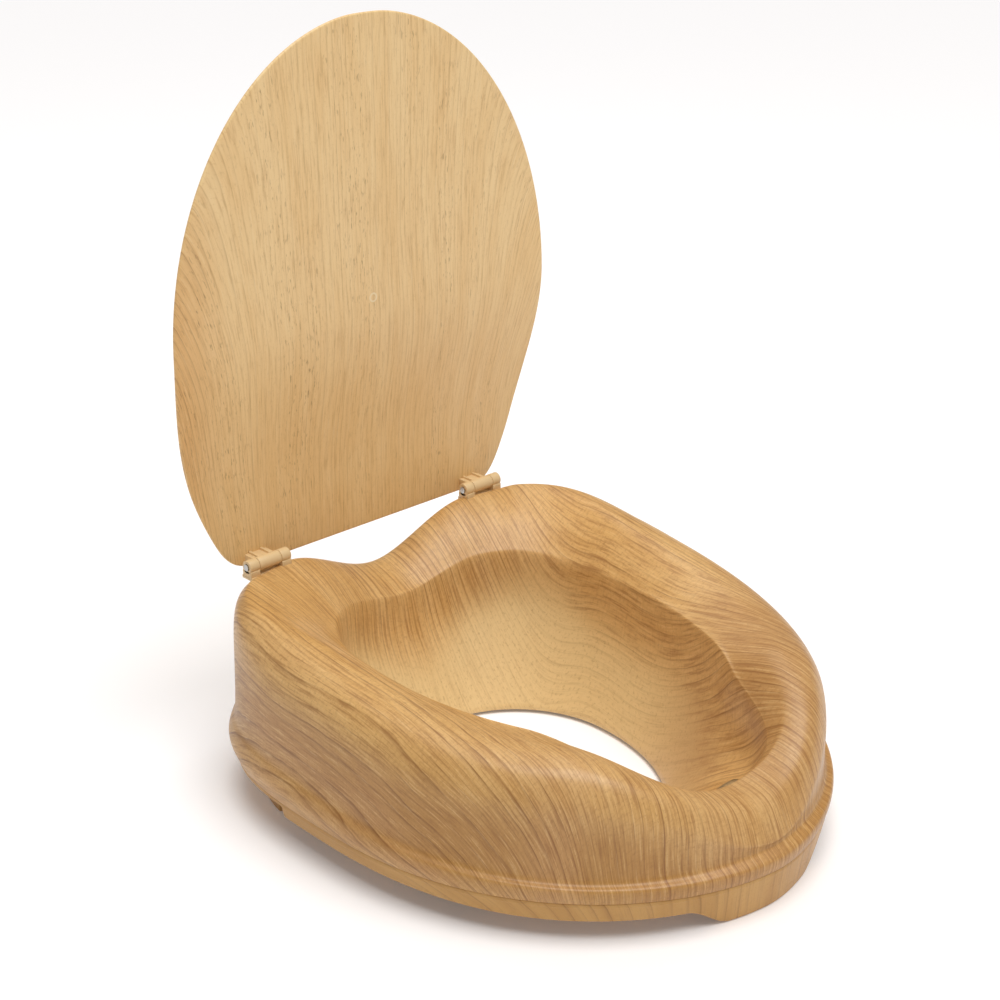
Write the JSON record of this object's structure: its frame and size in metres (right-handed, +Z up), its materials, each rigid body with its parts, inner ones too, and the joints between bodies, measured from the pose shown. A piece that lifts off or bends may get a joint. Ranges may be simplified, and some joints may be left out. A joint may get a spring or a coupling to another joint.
{
  "type": "raised toilet seat",
  "caption": "Raised toilet seat: contoured hollow seat moulding with front and rear scoops on a closing base ring with locating lip, feet and clamps, and a hinged lid.",
  "frame": {"origin": "on the standing plane, under the middle of the seat's outline", "axes": "+Z up, +Y to the back of the seat where the hinges are, +X to the right of a person standing in front of it"},
  "size_m": [0.3786, 0.4136, 0.5184],
  "materials": {
    "wood_effect_seat": "semi-gloss, printed wood grain film",
    "wood_effect_base": "semi-gloss, printed wood grain film",
    "wood_effect_lid": "semi-gloss, printed wood grain film",
    "hinge_plastic": "satin tan moulding",
    "clamp_plastic": "fine texture, off white",
    "rubber": "matt",
    "steel": "satin stainless"
  },
  "bodies": {
    "root": {"seat_shell": "wood_effect_seat", "base_ring": "wood_effect_base", "base_screws": "steel", "antislip_pads": "rubber", "hinge_block_left": "hinge_plastic", "hinge_block_right": "hinge_plastic", "hinge_pin_left": "steel", "hinge_pin_right": "steel", "hinge_screws": "steel", "clamp_washers": "steel", "clamp_nuts": "steel"},
    "lid": {"lid": "wood_effect_lid"},
    "bracket_rear_left": {"clamp_bracket_rear_left": "clamp_plastic", "clamp_pad_rear_left": "rubber"},
    "knob_rear_left": {"clamp_knob_rear_left": "clamp_plastic", "clamp_screw_rear_left": "steel"},
    "bracket_rear_right": {"clamp_bracket_rear_right": "clamp_plastic", "clamp_pad_rear_right": "rubber"},
    "knob_rear_right": {"clamp_knob_rear_right": "clamp_plastic", "clamp_screw_rear_right": "steel"},
    "bracket_front_left": {"clamp_bracket_front_left": "clamp_plastic", "clamp_pad_front_left": "rubber"},
    "knob_front_left": {"clamp_knob_front_left": "clamp_plastic", "clamp_screw_front_left": "steel"},
    "bracket_front_right": {"clamp_bracket_front_right": "clamp_plastic", "clamp_pad_front_right": "rubber"},
    "knob_front_right": {"clamp_knob_front_right": "clamp_plastic", "clamp_screw_front_right": "steel"}
  },
  "joints": [
    {"name": "lid_hinge", "type": "hinge", "parent": "root", "child": "lid", "pos_m": [0, 0.18675, 0.146], "axis": [1, 0, 0], "range_deg": [0, 90]},
    {"name": "bracket_slide_rear_left", "type": "slide", "parent": "root", "child": "bracket_rear_left", "axis": [-1, 0, 0], "range_m": [0, 0.01]},
    {"name": "knob_turn_rear_left", "type": "hinge", "parent": "root", "child": "knob_rear_left", "pos_m": [-0.096, 0.093, 0.01], "axis": [0, 0, -1], "range_deg": [0, 360]},
    {"name": "bracket_slide_rear_right", "type": "slide", "parent": "root", "child": "bracket_rear_right", "axis": [1, 0, 0], "range_m": [0, 0.01]},
    {"name": "knob_turn_rear_right", "type": "hinge", "parent": "root", "child": "knob_rear_right", "pos_m": [0.096, 0.093, 0.01], "axis": [0, 0, -1], "range_deg": [0, 360]},
    {"name": "bracket_slide_front_left", "type": "slide", "parent": "root", "child": "bracket_front_left", "axis": [-1, 0, 0], "range_m": [0, 0.01]},
    {"name": "knob_turn_front_left", "type": "hinge", "parent": "root", "child": "knob_front_left", "pos_m": [-0.096, -0.064, 0.01], "axis": [0, 0, -1], "range_deg": [0, 360]},
    {"name": "bracket_slide_front_right", "type": "slide", "parent": "root", "child": "bracket_front_right", "axis": [1, 0, 0], "range_m": [0, 0.01]},
    {"name": "knob_turn_front_right", "type": "hinge", "parent": "root", "child": "knob_front_right", "pos_m": [0.096, -0.064, 0.01], "axis": [0, 0, -1], "range_deg": [0, 360]}
  ]
}
